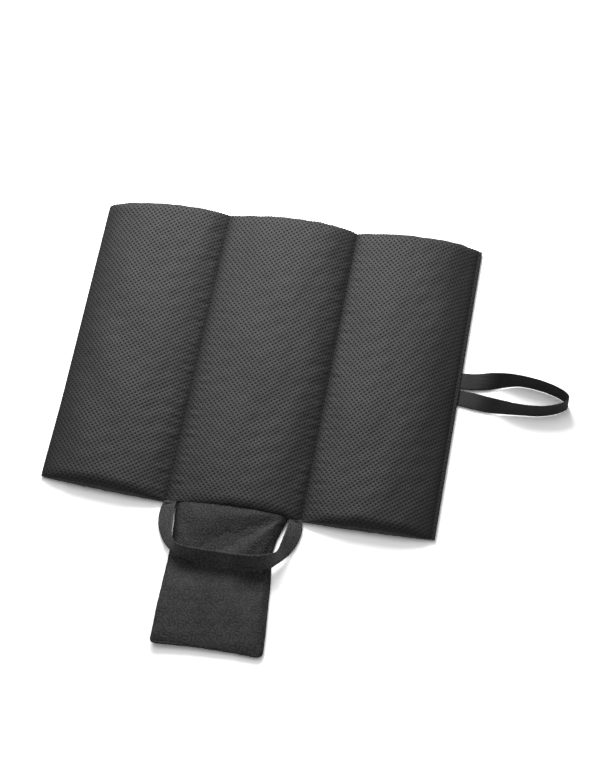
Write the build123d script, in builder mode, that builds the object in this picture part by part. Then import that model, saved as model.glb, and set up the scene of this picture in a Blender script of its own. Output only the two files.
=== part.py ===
from build123d import *
import os

# Padded three-panel folding mat, all sizes in millimetres.
# Origin: middle of the underside, on the surface that the mat lies on.
# +X runs towards the elastic loop, +Y away from the pouch, +Z up.

# Driving dimensions of the mat
mat_width = 400
mat_depth = 350
left_seam_x = -70  # fold line between the left and middle panels
right_seam_x = 67  # fold line between the middle and right panels
pad_height = 16  # highest point of each crowned panel
panel_edge_height = 4.5  # where the two cloths come together beside a fold
shoulder_run = 14  # distance over which a panel swells up from its edge
shoulder_height = 11.5
front_wall_height = 9  # where the rounded front and back edges begin
front_round_run = 9
front_round_fullness = 0.71  # how far out the middle of that rounding stands
crown_clearance = 0.1  # keeps the rounding clear of the crown's highest line

# Cloth, foam and thread
base_cloth_thickness = 0.9
mesh_thickness = 2.5
seam_strip_half_width = 3.3
seam_strip_gap = 0.3  # running clearance beside each fold
seam_strip_thickness = 3.6
thread_width = 0.8
thread_rise = 0.6
stitch_row_offset = 1.5  # each fold is sewn with two rows
edge_stitch_inset = 4.5
stitch_end_gap = 5
free_end_stitch_gap = 10  # the row down the left end stops this far from the corners
topstitch_end_gap = 20

# Straps
strap_thickness = 1.4
elastic_thickness = 1.2
loop_root_gap = 1.5  # the loop leaves the seam this far outside the mat
loop_centre_y = 4
loop_bartack_length = 34
loop_bartack_height = 1.6
loop_bartack_z = 2.2
handle_left_x = -65  # middle of each end of the carry strap
handle_right_x = 61
handle_bartack_length = 11
handle_bartack_depth = 1.2
handle_bartack_height = 1.8
handle_bartack_z = 4.5

# Pouch in front of the middle panel
pouch_top_y = -177.5
pouch_bottom_y = -332
pouch_bend_y = -258  # the lower part rises gently from here
pouch_left_top_x = -58
pouch_right_top_x = 53
pouch_waist_x = 45  # the right side is drawn in below the carry strap
pouch_waist_y = -218
pouch_left_bottom_x = -55
pouch_right_bottom_x = 55
pouch_corner_radius = 6
pouch_underside_z = 0.5
pouch_cloth_thickness = 0.7
pouch_gap = 0.6
pouch_tip_rise = 6
mouth_inset = 12  # the back layer stops this far from the mat
hem_depth = 10
side_seam_width = 3
overcut = 1  # lets a cutting section stand clear of what it cuts
pouch_cut_height = 24  # taller than the pouch's tip
pouch_cut_width = 240

os.makedirs("parts", exist_ok=True)


def crowned_block(x_start, x_end, inset, floor):
    """A panel's solid: a low pillow section along X, rounded over at the front and back."""
    middle = (x_start + x_end) / 2
    half_depth = mat_depth / 2 - inset
    low, shoulder = panel_edge_height - inset / 2, shoulder_height - inset
    top = pad_height - inset
    with BuildPart() as block:
        with BuildSketch(Plane.XZ.offset(-half_depth)):
            with BuildLine():
                Spline(
                    (x_start, low),
                    (x_start + shoulder_run, shoulder),
                    (middle, top),
                    (x_end - shoulder_run, shoulder),
                    (x_end, low),
                )
                Polyline((x_end, low), (x_end, floor), (x_start, floor), (x_start, low))
            make_face()
        extrude(amount=2 * half_depth)
        with BuildSketch(Plane.YZ.offset(x_start)):
            with BuildLine():
                wall, start = front_wall_height - inset, half_depth - front_round_run
                rise = top + crown_clearance - wall
                bulge_y = start + front_round_run * front_round_fullness
                bulge_z = wall + rise * front_round_fullness
                back_round = ThreePointArc((half_depth, wall), (bulge_y, bulge_z), (start, wall + rise))
                Line(back_round @ 1, (-start, wall + rise))
                front_round = ThreePointArc((-start, wall + rise), (-bulge_y, bulge_z), (-half_depth, wall))
                Polyline(front_round @ 1, (-half_depth, floor), (half_depth, floor), back_round @ 0)
            make_face()
        extrude(amount=x_end - x_start, mode=Mode.INTERSECT)
    return block.part


def ribbon(stations, thickness):
    """A strap lofted through the pairs of points that its upper and lower edges pass."""
    sections = []
    centres = [(Vector(*upper) + Vector(*lower)) / 2 for upper, lower in stations]
    for i, (upper, lower) in enumerate(stations):
        before, after = centres[max(i - 1, 0)], centres[min(i + 1, len(centres) - 1)]
        across = Vector(*upper) - Vector(*lower)
        face = Plane(origin=centres[i], x_dir=across, z_dir=(after - before).cross(across).cross(across) * -1)
        sections.append((face, across.length))
    with BuildPart() as strap:
        for face, width in sections:
            with BuildSketch(face):
                Rectangle(width, thickness)
        loft(ruled=True)
    return strap.part


def pouch_slab(z_low, thickness, margin=0):
    """One flat layer of the pouch: level near the mat, rising gently towards its closed end."""
    bottom_y = pouch_bottom_y - overcut
    rise = pouch_tip_rise - pouch_underside_z
    with BuildPart() as slab:
        with BuildSketch():
            with BuildLine():
                Polyline(
                    (pouch_left_top_x, pouch_top_y),
                    (pouch_left_bottom_x, pouch_bottom_y),
                    (pouch_right_bottom_x, pouch_bottom_y),
                    (pouch_waist_x, pouch_waist_y),
                    (pouch_right_top_x, pouch_top_y),
                    close=True,
                )
            make_face()
            fillet(vertices().group_by(Axis.Y)[0], pouch_corner_radius)
            if margin:
                offset(amount=-margin)
        extrude(amount=pouch_cut_height)
        with BuildSketch(Plane.YZ.offset(-pouch_cut_width / 2)):
            with BuildLine():
                Polyline(
                    (pouch_top_y, z_low),
                    (pouch_bend_y, z_low),
                    (bottom_y, z_low + rise),
                    (bottom_y, z_low + rise + thickness),
                    (pouch_bend_y, z_low + thickness),
                    (pouch_top_y, z_low + thickness),
                    close=True,
                )
            make_face()
        extrude(amount=pouch_cut_width, mode=Mode.INTERSECT)
    return slab.part


panels = {
    "left": (-mat_width / 2, left_seam_x - seam_strip_half_width),
    "middle": (left_seam_x + seam_strip_half_width, right_seam_x - seam_strip_half_width),
    "right": (right_seam_x + seam_strip_half_width, mat_width / 2),
}

# Three padded panels: a foam pad under a spacer-mesh cover, closed below by woven cloth.
for side, (x_start, x_end) in panels.items():
    outer = crowned_block(x_start, x_end, 0, base_cloth_thickness)
    foam_start = x_start + mesh_thickness
    foam_end = x_end - mesh_thickness
    inner = crowned_block(foam_start, foam_end, mesh_thickness, base_cloth_thickness)
    width = x_end - x_start
    centre_x = (x_start + x_end) / 2

    with BuildPart() as mesh_cover:
        add(outer)
        add(inner, mode=Mode.SUBTRACT)
    mesh_cover.part.label = f"mesh_cover_{side}"
    export_step(mesh_cover.part, f"parts/mesh_cover_{side}.step")

    with BuildPart() as foam_pad:
        add(inner)
    foam_pad.part.label = f"foam_pad_{side}"
    export_step(foam_pad.part, f"parts/foam_pad_{side}.step")

    with BuildPart() as base_cloth:
        with BuildSketch():
            with Locations((centre_x, 0)):
                Rectangle(width, mat_depth)
        extrude(amount=base_cloth_thickness)
    base_cloth.part.label = f"base_cloth_{side}"
    export_step(base_cloth.part, f"parts/base_cloth_{side}.step")

    # The topstitch beside the loop lies on the mesh, so it is cut from a slightly swollen panel.
    if side == "right":
        with BuildPart() as topstitch:
            add(crowned_block(x_start, x_end, -thread_rise, base_cloth_thickness))
            add(outer, mode=Mode.SUBTRACT)
            topstitch_length = mat_depth - 2 * topstitch_end_gap
            with Locations((x_end - edge_stitch_inset, 0, pad_height)):
                Box(thread_width, topstitch_length, 2 * front_wall_height, mode=Mode.INTERSECT)

    # Thread along the front and back seams, and along the mat's free ends
    with BuildPart() as edge_stitching:
        for front_or_back in (-1, 1):
            with Locations((centre_x, front_or_back * (mat_depth + thread_rise) / 2, panel_edge_height)):
                Box(width - 2 * stitch_end_gap, thread_rise, thread_width)
        if side == "left":
            with Locations((x_start - thread_rise / 2, 0, panel_edge_height / 2)):
                Box(thread_rise, mat_depth - 2 * free_end_stitch_gap, thread_width)
        if side == "right":
            add(topstitch.part)
    edge_stitching.part.label = f"edge_stitching_{side}"
    export_step(edge_stitching.part, f"parts/edge_stitching_{side}.step")

# Quilted strips where both cloths are sewn together flat, with two rows of thread on each
for side, seam_x, towards in (("left", left_seam_x, 1), ("right", right_seam_x, -1)):
    with BuildPart() as fold_seam:
        reach = (seam_strip_half_width - seam_strip_gap, seam_strip_half_width)
        with Locations((seam_x + towards * (reach[1] - reach[0]) / 2, 0, seam_strip_thickness / 2)):
            Box(sum(reach), mat_depth - 2, seam_strip_thickness)
    fold_seam.part.label = f"fold_seam_{side}"
    export_step(fold_seam.part, f"parts/fold_seam_{side}.step")

    with BuildPart() as fold_stitching:
        with BuildSketch(Plane.XY.offset(seam_strip_thickness)):
            with Locations((seam_x, 0)):
                with GridLocations(2 * stitch_row_offset, 0, 2, 1):
                    Rectangle(thread_width, mat_depth - 2 * stitch_end_gap)
        extrude(amount=thread_rise)
    fold_stitching.part.label = f"fold_stitching_{side}"
    export_step(fold_stitching.part, f"parts/fold_stitching_{side}.step")

# Dense row of thread that holds the elastic loop in the right-hand seam
with BuildPart() as loop_bartack:
    with Locations(((mat_width + thread_rise) / 2, loop_centre_y, loop_bartack_z)):
        Box(thread_rise, loop_bartack_length, loop_bartack_height)
loop_bartack.part.label = "loop_bartack"
export_step(loop_bartack.part, "parts/loop_bartack.step")

# Elastic loop: flat in the seam, turned on edge further out.
# Each pair is the upper or inner edge, then the other.
root_x = mat_width / 2 + loop_root_gap
loop_stations = [
    ((root_x, 23.4, 3.4), (root_x, 4.4, 3.4)),
    ((root_x + 14, 24.6, 5.4), (root_x + 14, 6.2, 2.6)),
    ((root_x + 30, 24.6, 12.5), (root_x + 30, 9.8, 1.6)),
    ((root_x + 46, 22.3, 18.6), (root_x + 48, 16.5, 0.9)),
    ((root_x + 62, 20.5, 20.2), (root_x + 62, 19.3, 0.7)),
    ((root_x + 82, 17.8, 20.2), (root_x + 82, 17.4, 0.7)),
    ((root_x + 98, 13.4, 20.2), (root_x + 98, 13.2, 0.7)),
    ((root_x + 107, 8.2, 20.2), (root_x + 107, 8.1, 0.7)),
    ((root_x + 109.2, 4, 20.2), (root_x + 109.2, 4, 0.7)),
    ((root_x + 107, -0.6, 20.2), (root_x + 107, -0.6, 0.7)),
    ((root_x + 98, -6.4, 20.2), (root_x + 98, -6.6, 0.7)),
    ((root_x + 82, -11.2, 20), (root_x + 82, -11.8, 0.7)),
    ((root_x + 62, -13.2, 19.8), (root_x + 62, -14.8, 0.8)),
    ((root_x + 46, -11.3, 18.2), (root_x + 46, -17.2, 1)),
    ((root_x + 30, -5.6, 12.2), (root_x + 30, -19.2, 1.7)),
    ((root_x + 14, 0.4, 5.2), (root_x + 14, -17.8, 2.6)),
    ((root_x, 3.4, 3.4), (root_x, -15.6, 3.4)),
]
elastic_loop = ribbon(loop_stations, elastic_thickness)
elastic_loop.label = "elastic_loop"
export_step(elastic_loop, "parts/elastic_loop.step")

# Carry strap: sewn flat beside the pouch, its legs splay outwards, and the front span stands on edge.
handle_stations = [
    ((-59.2, pouch_top_y, 3.6), (-72.8, pouch_top_y, 3.4)),
    ((-59.6, -184, 6.6), (-74.2, -184, 3)),
    ((-58.8, -194, 10.2), (-74.4, -195, 2.4)),
    ((-57.4, -205, 14.2), (-72.2, -206, 2.4)),
    ((-55.8, -217, 18.6), (-66.8, -218, 3.2)),
    ((-52.6, -226.6, 22.8), (-59.5, -228, 4)),
    ((-46, -230.6, 22.6), (-49, -237, 4.2)),
    ((-34, -232, 21.2), (-34.6, -241.6, 4.2)),
    ((-18, -233, 20.4), (-18, -243.6, 4)),
    ((0, -233.5, 20.6), (0, -243.6, 4)),
    ((18, -234, 21.4), (18.6, -241.6, 3.8)),
    ((32, -233.4, 22.6), (33.4, -238.2, 3.8)),
    ((43, -230.6, 23.2), (45.2, -233, 3.8)),
    ((50.6, -224, 22.4), (55.4, -225, 3.2)),
    ((52.4, -213.6, 18.8), (62.6, -214.4, 2.4)),
    ((53.4, -201.6, 14.4), (67.4, -202.4, 2.2)),
    ((54.2, -190, 9.6), (69.4, -190.4, 2.6)),
    ((54.4, -183, 6), (69.4, -183, 3)),
    ((54.4, pouch_top_y, 3.6), (68, pouch_top_y, 3.4)),
]
handle_strap = ribbon(handle_stations, strap_thickness)
handle_strap.label = "handle_strap"
export_step(handle_strap, "parts/handle_strap.step")

# A thread bar across each end of the carry strap
for side, bar_x in (("left", handle_left_x), ("right", handle_right_x)):
    with BuildPart() as handle_bartack:
        with Locations((bar_x, pouch_top_y - overcut, handle_bartack_z)):
            Box(handle_bartack_length, handle_bartack_depth, handle_bartack_height)
        add(handle_strap, mode=Mode.SUBTRACT)
    handle_bartack.part.label = f"handle_bartack_{side}"
    export_step(handle_bartack.part, f"parts/handle_bartack_{side}.step")

# Pouch: the front layer is sewn to the mat, the back layer stops short of it and leaves the mouth open below.
gap_z = pouch_underside_z + pouch_cloth_thickness
mouth_y = pouch_top_y - mouth_inset
hem_y = mouth_y - hem_depth

with BuildPart() as pouch_front:
    add(pouch_slab(gap_z + pouch_gap, pouch_cloth_thickness))
pouch_front.part.label = "pouch_front"
export_step(pouch_front.part, "parts/pouch_front.step")

with BuildPart() as pouch_back:
    add(pouch_slab(pouch_underside_z, pouch_cloth_thickness))
    split(bisect_by=Plane.XZ.offset(-mouth_y), keep=Keep.TOP)
pouch_back.part.label = "pouch_back"
export_step(pouch_back.part, "parts/pouch_back.step")

with BuildPart() as pouch_mouth_hem:
    add(pouch_slab(gap_z, pouch_gap, side_seam_width))
    split(bisect_by=Plane.XZ.offset(-mouth_y), keep=Keep.TOP)
    split(bisect_by=Plane.XZ.offset(-hem_y), keep=Keep.BOTTOM)
pouch_mouth_hem.part.label = "pouch_mouth_hem"
export_step(pouch_mouth_hem.part, "parts/pouch_mouth_hem.step")

# The layers' seam allowances, turned in along both sides and the closed end
with BuildPart() as pouch_side_seam:
    add(pouch_slab(gap_z, pouch_gap))
    add(pouch_slab(gap_z, pouch_gap, side_seam_width), mode=Mode.SUBTRACT)
    split(bisect_by=Plane.XZ.offset(-hem_y), keep=Keep.TOP)
pouch_side_seam.part.label = "pouch_side_seam"
export_step(pouch_side_seam.part, "parts/pouch_side_seam.step")
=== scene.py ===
import math

import bpy
import numpy as np
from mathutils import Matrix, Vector


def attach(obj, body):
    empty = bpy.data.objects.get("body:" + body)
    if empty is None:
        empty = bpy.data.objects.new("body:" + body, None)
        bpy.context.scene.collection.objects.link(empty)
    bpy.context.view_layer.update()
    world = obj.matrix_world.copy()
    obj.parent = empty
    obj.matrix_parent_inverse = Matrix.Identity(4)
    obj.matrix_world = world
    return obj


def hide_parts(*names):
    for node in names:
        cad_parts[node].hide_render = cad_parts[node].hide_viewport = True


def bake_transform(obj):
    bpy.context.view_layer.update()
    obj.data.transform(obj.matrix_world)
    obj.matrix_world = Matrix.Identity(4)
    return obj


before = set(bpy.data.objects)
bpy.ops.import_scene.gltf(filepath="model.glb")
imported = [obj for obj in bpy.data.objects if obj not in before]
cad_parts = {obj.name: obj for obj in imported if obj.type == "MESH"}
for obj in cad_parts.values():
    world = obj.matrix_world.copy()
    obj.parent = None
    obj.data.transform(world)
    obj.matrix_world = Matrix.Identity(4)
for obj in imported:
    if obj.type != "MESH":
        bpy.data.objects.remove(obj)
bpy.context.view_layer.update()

mm = 0.001  # shapes are worked out in millimetres and built in metres


def smooth(t):
    t = np.clip(t, 0, 1)
    return t * t * (3 - 2 * t)


def ripple(x, y, size, seed):
    # soft irregular bumps between about -1 and 1, from a few crossing waves
    rng = np.random.default_rng(seed)
    total = 0
    for k in range(7):
        turn, phase = rng.uniform(0, 2 * math.pi, 2)
        pace = 2 * math.pi / size * rng.uniform(0.6, 1.7)
        total = total + np.sin((x * math.cos(turn) + y * math.sin(turn)) * pace + phase)
    return total / 3.5


def surfaceNormals(points):
    along, across = np.gradient(points, axis=0), np.gradient(points, axis=1)
    normals = np.cross(along, across)
    return normals / np.maximum(np.linalg.norm(normals, axis=2, keepdims=True), 1e-9)


def makePiece(name, points, faces, cloth, material):
    mesh = bpy.data.meshes.new(name)
    mesh.from_pydata((points * mm).tolist(), [], faces)
    corners = np.zeros(len(mesh.loops), int)
    mesh.loops.foreach_get("vertex_index", corners)
    layer = mesh.uv_layers.new(name="cloth")
    layer.data.foreach_set("uv", cloth[corners].astype(np.float32).ravel())
    mesh.polygons.foreach_set("use_smooth", np.ones(len(mesh.polygons), bool))
    mesh.materials.append(material)
    piece = bpy.data.objects.new(name, mesh)
    bpy.context.scene.collection.objects.link(piece)
    return piece


def shellPiece(name, outer, inner, cloth, material, ratio=1):
    # a closed skin: a face grid, a back grid that may be coarser by ratio, and a rim that joins them
    outId = np.arange(outer[..., 0].size).reshape(outer.shape[:2])
    inId = outId.size + np.arange(inner[..., 0].size).reshape(inner.shape[:2])

    def quads(ids):
        return np.stack([ids[:-1, :-1], ids[1:, :-1], ids[1:, 1:], ids[:-1, 1:]], -1).reshape(-1, 4)

    def border(ids):
        return np.concatenate([ids[:-1, 0], ids[-1, :-1], ids[:0:-1, -1], ids[0, :0:-1]])

    outRim, inRim = border(outId), border(inId)
    faces = quads(outId).tolist() + quads(inId)[:, ::-1].tolist()
    for k in range(len(inRim)):
        top = [outRim[(k * ratio + r) % len(outRim)] for r in range(ratio, -1, -1)]
        faces.append([int(i) for i in (inRim[k], inRim[(k + 1) % len(inRim)], *top)])
    facing = surfaceNormals(outer)[::ratio, ::ratio] * (outer[::ratio, ::ratio] - inner)
    if facing.sum() < 0:
        faces = [face[::-1] for face in faces]
    points = np.concatenate([outer.reshape(-1, 3), inner.reshape(-1, 3)])
    uv = np.concatenate([cloth.reshape(-1, 2), cloth[::ratio, ::ratio].reshape(-1, 2)])
    piece = makePiece(name, points, faces, uv, material)
    onRim = np.zeros(len(points), bool)
    onRim[np.concatenate([outRim, inRim])] = True
    ends = np.zeros(2 * len(piece.data.edges), int)
    piece.data.edges.foreach_get("vertices", ends)
    crease = piece.data.attributes.new("sharp_edge", "BOOLEAN", "EDGE")
    crease.data.foreach_set("value", onRim[ends].reshape(-1, 2).all(1))
    return piece


def keepNormals(piece, normals, columns):
    # the same shading normals on the upper side of both pieces at a cut, so that it doesn't show from above
    chosen = np.zeros((len(piece.data.vertices), 3))
    ids = np.arange(normals[..., 0].size).reshape(normals.shape[:2])
    for column in columns:
        chosen[ids[column, 1:-1]] = normals[column, 1:-1]
    piece.data.normals_split_custom_set_from_vertices(chosen.tolist())


def stitchRun(name, paths, material, size):
    # rows of short threads; every path is a dense line of points and the way the cloth faces there
    points, faces, uv = [], [], []
    turn = np.linspace(0, 2 * math.pi, 7)[:-1]
    spots = np.array([-0.5, -0.4, 0, 0.4, 0.5]) * size["length"]
    fat = np.array([0.3, 0.85, 1, 0.85, 0.3])
    sink = np.array([-0.75, -0.25, 0.3, -0.25, -0.75])
    for line, facing in paths:
        step = np.append(0, np.cumsum(np.linalg.norm(np.diff(line, axis=0), axis=1)))
        for centre in np.arange(size["pitch"] / 2, step[-1] - size["pitch"] / 3, size["pitch"]):
            at = lambda s, rows: np.array([np.interp(s, step, rows[:, k]) for k in range(3)])
            ahead = at(centre + 0.5, line) - at(centre - 0.5, line)
            ahead /= np.linalg.norm(ahead)
            up = at(centre, facing)
            side = np.cross(up, ahead)
            side /= np.linalg.norm(side)
            up = np.cross(ahead, side)
            start = len(points) * 6
            for k, spot in enumerate(spots):
                middle = at(centre + spot, line) + up * sink[k] * size["rise"]
                ring = (
                    side * np.cos(turn)[:, None] * size["width"] / 2
                    + up * np.sin(turn)[:, None] * size["rise"]
                )
                points.append(middle + ring * fat[k])
                uv.append(np.stack([centre + spot + 0 * turn, turn * size["width"] / 2], 1))
                if k:
                    low = start + 6 * (k - 1)
                    faces += [
                        [low + i, low + 6 + i, low + 6 + (i + 1) % 6, low + (i + 1) % 6] for i in range(6)
                    ]
            faces += [list(range(start, start + 6)), list(range(start + 29, start + 23, -1))]
    return makePiece(name, np.concatenate(points), [f[::-1] for f in faces], np.concatenate(uv), material)


def addNode(tree, kind, settings=None, **values):
    node = tree.nodes.new(kind)
    for key, value in (settings or {}).items():
        setattr(node, key, value)
    for key, value in values.items():
        socket = node.inputs[int(key[2:])] if key.startswith("in") and key[2:].isdigit() else node.inputs[key]
        if isinstance(value, bpy.types.NodeSocket):
            tree.links.new(value, socket)
        else:
            socket.default_value = value
    return node


def newGroup(name, inputs, outputs):
    group = bpy.data.node_groups.new(name, "ShaderNodeTree")
    for label, kind, value in inputs:
        socket = group.interface.new_socket(label, in_out="INPUT", socket_type=kind)
        if value is not None:
            socket.default_value = value
    for label, kind in outputs:
        group.interface.new_socket(label, in_out="OUTPUT", socket_type=kind)
    return group, group.nodes.new("NodeGroupInput").outputs, group.nodes.new("NodeGroupOutput").inputs


def maths(tree, operation, *values, clamp=False):
    inputs = {f"in{k}": value for k, value in enumerate(values)}
    return addNode(tree, "ShaderNodeMath", {"operation": operation, "use_clamp": clamp}, **inputs).outputs[0]


def vectorMaths(tree, operation, *values):
    inputs = {f"in{k}": value for k, value in enumerate(values)}
    node = addNode(tree, "ShaderNodeVectorMath", {"operation": operation}, **inputs)
    return node.outputs[1] if operation in ("LENGTH", "DOT_PRODUCT") else node.outputs[0]


def mapRange(tree, value, low, high, toLow=0.0, toHigh=1.0):
    node = addNode(
        tree, "ShaderNodeMapRange", {"interpolation_type": "SMOOTHSTEP"}, in0=value, in1=low, in2=high
    )
    node.inputs[3].default_value, node.inputs[4].default_value = toLow, toHigh
    return node.outputs[0]


def mixColour(tree, share, first, second):
    node = addNode(tree, "ShaderNodeMix", {"data_type": "RGBA"}, in0=share, in6=first, in7=second)
    return node.outputs[2]


def grey(value):
    return (value, value, value * 1.01, 1)


# The knit of the spacer mesh: a centred lattice of small holes with slanted ribs between them
meshKnit = {
    "cellWidth": 5.28,
    "cellHeight": 5.5,
    "turn": 4.6,
    "holeEdge": 1.25,
    "holeCore": 0.3,
    "holeDepth": 0.45,
}


def knitHoles(u, v):
    # the same lattice as the shader's, for the relief of the mesh itself
    turn = math.radians(meshKnit["turn"])
    p = u * math.cos(turn) - v * math.sin(turn)
    q = u * math.sin(turn) + v * math.cos(turn)
    p, q = p / meshKnit["cellWidth"], q / meshKnit["cellHeight"]
    nearest = 1e9
    for shift in (0, 0.5):
        dp = (p + shift - np.round(p + shift)) * meshKnit["cellWidth"]
        dq = (q + shift - np.round(q + shift)) * meshKnit["cellHeight"]
        nearest = np.minimum(nearest, np.hypot(dp, dq))
    return 1 - smooth((nearest - meshKnit["holeCore"]) / (meshKnit["holeEdge"] - meshKnit["holeCore"]))


def buildKnitGroup():
    group, given, result = newGroup(
        "knitHoles",
        [("Cloth", "NodeSocketVector", None), ("Rib Strength", "NodeSocketFloat", 0.5)],
        [("Hole", "NodeSocketFloat"), ("Rib", "NodeSocketFloat"), ("Height", "NodeSocketFloat")],
    )
    turned = addNode(group, "ShaderNodeVectorRotate", {"rotation_type": "Z_AXIS"}, Vector=given["Cloth"])
    turned.inputs["Angle"].default_value = math.radians(meshKnit["turn"])
    cell = (meshKnit["cellWidth"], meshKnit["cellHeight"], 1)
    lattice = vectorMaths(group, "DIVIDE", turned.outputs[0], cell)
    distances = []
    for shift in (0.5, 0):
        moved = vectorMaths(group, "FRACTION", vectorMaths(group, "ADD", lattice, (shift, shift, 0)))
        fromCentre = vectorMaths(group, "MULTIPLY", vectorMaths(group, "SUBTRACT", moved, (0.5, 0.5, 0)), cell)
        distances.append(vectorMaths(group, "LENGTH", vectorMaths(group, "MULTIPLY", fromCentre, (1, 1, 0))))
    nearest = maths(group, "MINIMUM", *distances)
    hole = mapRange(group, nearest, meshKnit["holeCore"], meshKnit["holeEdge"], 1.0, 0.0)
    parts = addNode(group, "ShaderNodeSeparateXYZ", in0=lattice)
    ribs = []
    for sign in ("SUBTRACT", "ADD"):
        slant = maths(group, sign, parts.outputs[0], parts.outputs[1])
        wave = maths(group, "COSINE", maths(group, "MULTIPLY", slant, 2 * math.pi))
        ribs.append(maths(group, "MULTIPLY_ADD", wave, -0.5, 0.5))
    rib = maths(group, "MULTIPLY_ADD", ribs[0], 0.6, maths(group, "MULTIPLY", ribs[1], 0.4))
    strong = maths(group, "MULTIPLY", rib, given["Rib Strength"])
    height = maths(group, "SUBTRACT", strong, hole)
    group.links.new(hole, result["Hole"])
    group.links.new(rib, result["Rib"])
    group.links.new(height, result["Height"])
    return group


def buildWeaveGroup():
    group, given, result = newGroup(
        "plainWeave",
        [("Cloth", "NodeSocketVector", None), ("Threads per mm", "NodeSocketFloat", 1.8)],
        [("Thread", "NodeSocketFloat"), ("Height", "NodeSocketFloat")],
    )
    scaled = addNode(group, "ShaderNodeVectorMath", {"operation": "SCALE"}, in0=given["Cloth"])
    group.links.new(given["Threads per mm"], scaled.inputs["Scale"])
    parts = addNode(group, "ShaderNodeSeparateXYZ", in0=scaled.outputs[0])
    warp = maths(group, "SINE", maths(group, "MULTIPLY", parts.outputs[0], math.pi))
    weft = maths(group, "SINE", maths(group, "MULTIPLY", parts.outputs[1], math.pi))
    crossing = maths(group, "MULTIPLY", warp, weft)
    height = maths(group, "MULTIPLY_ADD", crossing, 0.5, 0.5)
    slub = addNode(
        group,
        "ShaderNodeTexNoise",
        {"noise_dimensions": "2D"},
        Vector=scaled.outputs[0],
        Scale=0.55,
        Detail=2.0,
    )
    thread = maths(group, "MULTIPLY_ADD", height, 0.45, maths(group, "MULTIPLY", slub.outputs[0], 0.55))
    group.links.new(thread, result["Thread"])
    group.links.new(height, result["Height"])
    return group


def buildMottleGroup():
    # uneven dye and fibre: broad soft clouds and small flecks, both around 0.5
    group, given, result = newGroup(
        "fibreMottle",
        [
            ("Cloth", "NodeSocketVector", None),
            ("Cloud Size", "NodeSocketFloat", 40.0),
            ("Fleck Size", "NodeSocketFloat", 1.6),
        ],
        [("Clouds", "NodeSocketFloat"), ("Flecks", "NodeSocketFloat")],
    )
    for label, size, detail in (("Clouds", "Cloud Size", 3.0), ("Flecks", "Fleck Size", 3.0)):
        noise = addNode(
            group, "ShaderNodeTexNoise", {"noise_dimensions": "2D"}, Vector=given["Cloth"], Detail=detail
        )
        group.links.new(maths(group, "DIVIDE", 1.0, given[size]), noise.inputs["Scale"])
        group.links.new(noise.outputs[0], result[label])
    return group


knitGroup, weaveGroup, mottleGroup = buildKnitGroup(), buildWeaveGroup(), buildMottleGroup()


def startMaterial(name, roughness, sheen, gloss):
    material = bpy.data.materials.new(name)
    material.use_nodes = True
    tree = material.node_tree
    shader = tree.nodes["Principled BSDF"]
    shader.inputs["Roughness"].default_value = roughness
    shader.inputs["Sheen Weight"].default_value = sheen
    shader.inputs["Sheen Roughness"].default_value = 0.45
    shader.inputs["Specular IOR Level"].default_value = gloss
    cloth = addNode(tree, "ShaderNodeUVMap", {"uv_map": "cloth"}).outputs[0]
    return material, tree, shader, cloth


def useGroup(tree, group, cloth, **values):
    node = tree.nodes.new("ShaderNodeGroup")
    node.node_tree = group
    tree.links.new(cloth, node.inputs["Cloth"])
    for key, value in values.items():
        node.inputs[key].default_value = value
    return node.outputs


def addBump(tree, shader, height, distance, strength=1.0):
    bump = addNode(tree, "ShaderNodeBump", Height=height, Distance=distance, Strength=strength)
    tree.links.new(bump.outputs[0], shader.inputs["Normal"])


meshLook = {
    "hole": 0.004,
    "dark": 0.005,
    "light": 0.024,
    # how little flattened knit and painted shade at seams, flanges and edges darken the mesh: 1 leaves it, 0
    # goes all the way to the hole colour
    "pressedAndShaded": 0.45,
    "roughness": 0.5,
    "sheen": 0.0,
    "gloss": 0.3,
}


def spacerMeshMaterial(name, look):
    material, tree, shader, cloth = startMaterial(name, look["roughness"], look["sheen"], look["gloss"])
    knit = useGroup(tree, knitGroup, cloth, **{"Rib Strength": 0.3})
    mottle = useGroup(tree, mottleGroup, cloth, **{"Cloud Size": 45.0, "Fleck Size": 0.95})
    fleck = mapRange(tree, mottle["Flecks"], 0.3, 0.7)
    share = maths(tree, "MULTIPLY_ADD", knit["Rib"], 0.3, maths(tree, "MULTIPLY", fleck, 0.55))
    share = maths(tree, "MULTIPLY_ADD", mottle["Clouds"], 0.3, share, clamp=True)
    yarn = mixColour(tree, share, grey(look["dark"]), grey(look["light"]))
    holed = mixColour(tree, maths(tree, "MULTIPLY", knit["Hole"], 0.85), yarn, grey(look["hole"]))
    # darker towards the hole colour where the knit is sewn flat, and painted shade in the seam valleys, along
    # the left edge and at the front
    flatAndShaded = addNode(tree, "ShaderNodeAttribute", {"attribute_name": "pressedAndShaded"}).outputs["Fac"]
    shade = maths(tree, "MULTIPLY", flatAndShaded, 1 - look["pressedAndShaded"])
    tree.links.new(mixColour(tree, shade, holed, grey(look["hole"])), shader.inputs["Base Color"])
    rough = maths(
        tree,
        "MULTIPLY_ADD",
        knit["Hole"],
        0.4,
        maths(tree, "MULTIPLY_ADD", flatAndShaded, 0.2, look["roughness"]),
        clamp=True,
    )
    tree.links.new(rough, shader.inputs["Roughness"])
    addBump(tree, shader, maths(tree, "MULTIPLY_ADD", fleck, 0.45, knit["Height"]), 0.00026, 0.85)
    return material


wovenLook = {"dark": 0.001, "light": 0.042, "roughness": 0.58, "sheen": 0.0, "gloss": 0.32, "threads": 1.7}


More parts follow.
